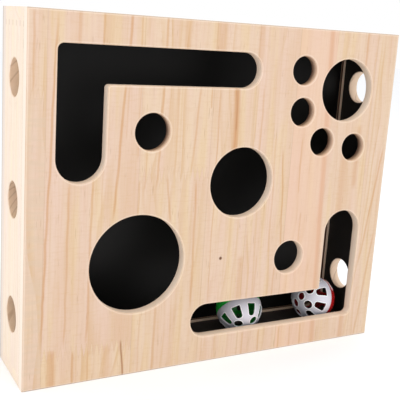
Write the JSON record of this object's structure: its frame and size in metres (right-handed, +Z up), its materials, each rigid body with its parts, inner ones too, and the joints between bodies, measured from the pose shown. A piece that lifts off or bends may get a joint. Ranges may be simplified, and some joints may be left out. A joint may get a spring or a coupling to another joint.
{
  "type": "cat puzzle box",
  "caption": "Shallow wooden box with round and L-shaped cut-outs in its front and round holes in its sides, holding lattice bell balls that a paw bats along the bottom.",
  "frame": {"origin": "middle of the underside, on the surface that the box stands on", "axes": "+X to the right along the front panel, +Y from the front panel to the back, +Z up"},
  "size_m": [0.35, 0.072, 0.298],
  "materials": {
    "pine_front": "sanded, unfinished pine with vertical grain and finger joints",
    "pine_board": "sanded, unfinished pine, black film on the inner face",
    "pine_rear_frame": "planed, unfinished pine",
    "black_back": "thin board with a satin black face",
    "white_plastic": "moulded, glossy",
    "green_plastic": "moulded, glossy",
    "red_plastic": "moulded, glossy",
    "bell_steel": "pressed sheet, nickel plated"
  },
  "bodies": {
    "box": {"front_panel": "pine_front", "bottom_board": "pine_board", "top_board": "pine_board", "left_side_board": "pine_board", "right_side_board": "pine_board", "rear_stile_left": "pine_rear_frame", "rear_stile_right": "pine_rear_frame", "rear_rail_bottom": "pine_rear_frame", "rear_rail_top": "pine_rear_frame", "back_panel": "black_back"},
    "green_bell": {"green_ball_bell": "bell_steel", "green_ball_pellet": "bell_steel"},
    "green_ball": {"green_ball_white_half": "white_plastic", "green_ball_green_half": "green_plastic"},
    "red_bell": {"red_ball_bell": "bell_steel", "red_ball_pellet": "bell_steel"},
    "red_ball": {"red_ball_white_half": "white_plastic", "red_ball_red_half": "red_plastic"}
  },
  "joints": [
    {"name": "green_ball_travel", "type": "slide", "parent": "box", "child": "green_bell", "axis": [1, 0, 0], "range_m": [-0.183, 0.021]},
    {"name": "green_ball_roll", "type": "hinge", "parent": "green_bell", "child": "green_ball", "pos_m": [0.04113, -0.0047, 0.0323], "axis": [0, 1, 0], "range_deg": [-480, 60]},
    {"name": "red_ball_travel", "type": "slide", "parent": "box", "child": "red_bell", "axis": [1, 0, 0], "range_m": [-0.021, 0.0133]},
    {"name": "red_ball_roll", "type": "hinge", "parent": "red_bell", "child": "red_ball", "pos_m": [0.1288, -0.0047, 0.0323], "axis": [0, 1, 0], "range_deg": [-60, 40]}
  ],
  "couplings": [
    {"joint": "green_ball_roll", "follows": "green_ball_travel", "rad_per_m": 45.455},
    {"joint": "red_ball_roll", "follows": "red_ball_travel", "rad_per_m": 45.455}
  ]
}
